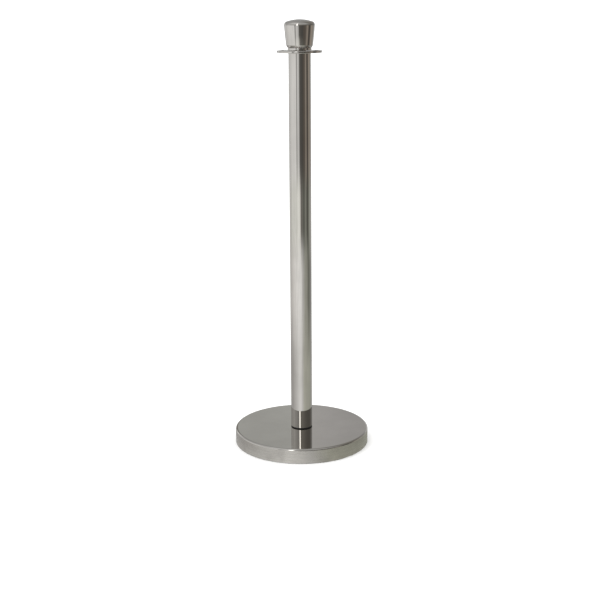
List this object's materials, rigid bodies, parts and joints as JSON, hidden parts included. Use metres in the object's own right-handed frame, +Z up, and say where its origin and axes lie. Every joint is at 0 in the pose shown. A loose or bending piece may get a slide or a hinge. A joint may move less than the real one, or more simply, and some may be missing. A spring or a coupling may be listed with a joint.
{
  "type": "rope stanchion",
  "caption": "Free-standing crowd-control post: weighted disc base, polished tube, swivelling slotted rope ring and a screw-on crown top.",
  "frame": {"origin": "on the floor, at the centre of the base under the axis of the post", "axes": "+Z up along the post; +X towards the first slot of the rope ring"},
  "size_m": [0.32, 0.32, 0.998],
  "materials": {
    "polished_stainless": "mirror polished",
    "zinc_steel": "zinc plated",
    "cast_iron": "rough cast, painted dark grey",
    "rubber": "matt moulded",
    "foam": "closed-cell foam",
    "brass": "turned",
    "nylon": "matt moulded"
  },
  "bodies": {
    "post": {"floor_ring": "rubber", "base_weight": "cast_iron", "cover_pad_1": "foam", "cover_pad_2": "foam", "cover_pad_3": "foam", "base_cover": "polished_stainless", "foot_plug": "zinc_steel", "foot_stud": "zinc_steel", "clamp_washer": "zinc_steel", "spring_washer": "zinc_steel", "foot_nut": "zinc_steel", "locating_pin": "zinc_steel", "foot_gasket": "rubber", "post_tube": "polished_stainless", "top_plug": "zinc_steel", "head_stud": "zinc_steel", "stud_lock_nut": "zinc_steel", "ring_bush": "brass", "ring_washer": "nylon", "neck_collar": "polished_stainless"},
    "ring": {"rope_ring": "polished_stainless"},
    "crown_carrier": {"crown_washer": "nylon"},
    "crown": {"crown_insert": "zinc_steel", "crown_shell": "polished_stainless"}
  },
  "joints": [
    {"name": "ring_swivel", "type": "hinge", "parent": "post", "child": "ring", "pos_m": [0, 0, 0.927], "axis": [0, 0, 1], "continuous": true},
    {"name": "crown_lift", "type": "slide", "parent": "post", "child": "crown_carrier", "axis": [0, 0, 1], "range_m": [0, 0.012]},
    {"name": "crown_turn", "type": "hinge", "parent": "crown_carrier", "child": "crown", "pos_m": [0, 0, 0.9365], "axis": [0, 0, 1], "range_deg": [0, 2880]}
  ],
  "couplings": [
    {"joint": "crown_lift", "follows": "crown_turn", "m_per_rad": 0.00023873}
  ]
}
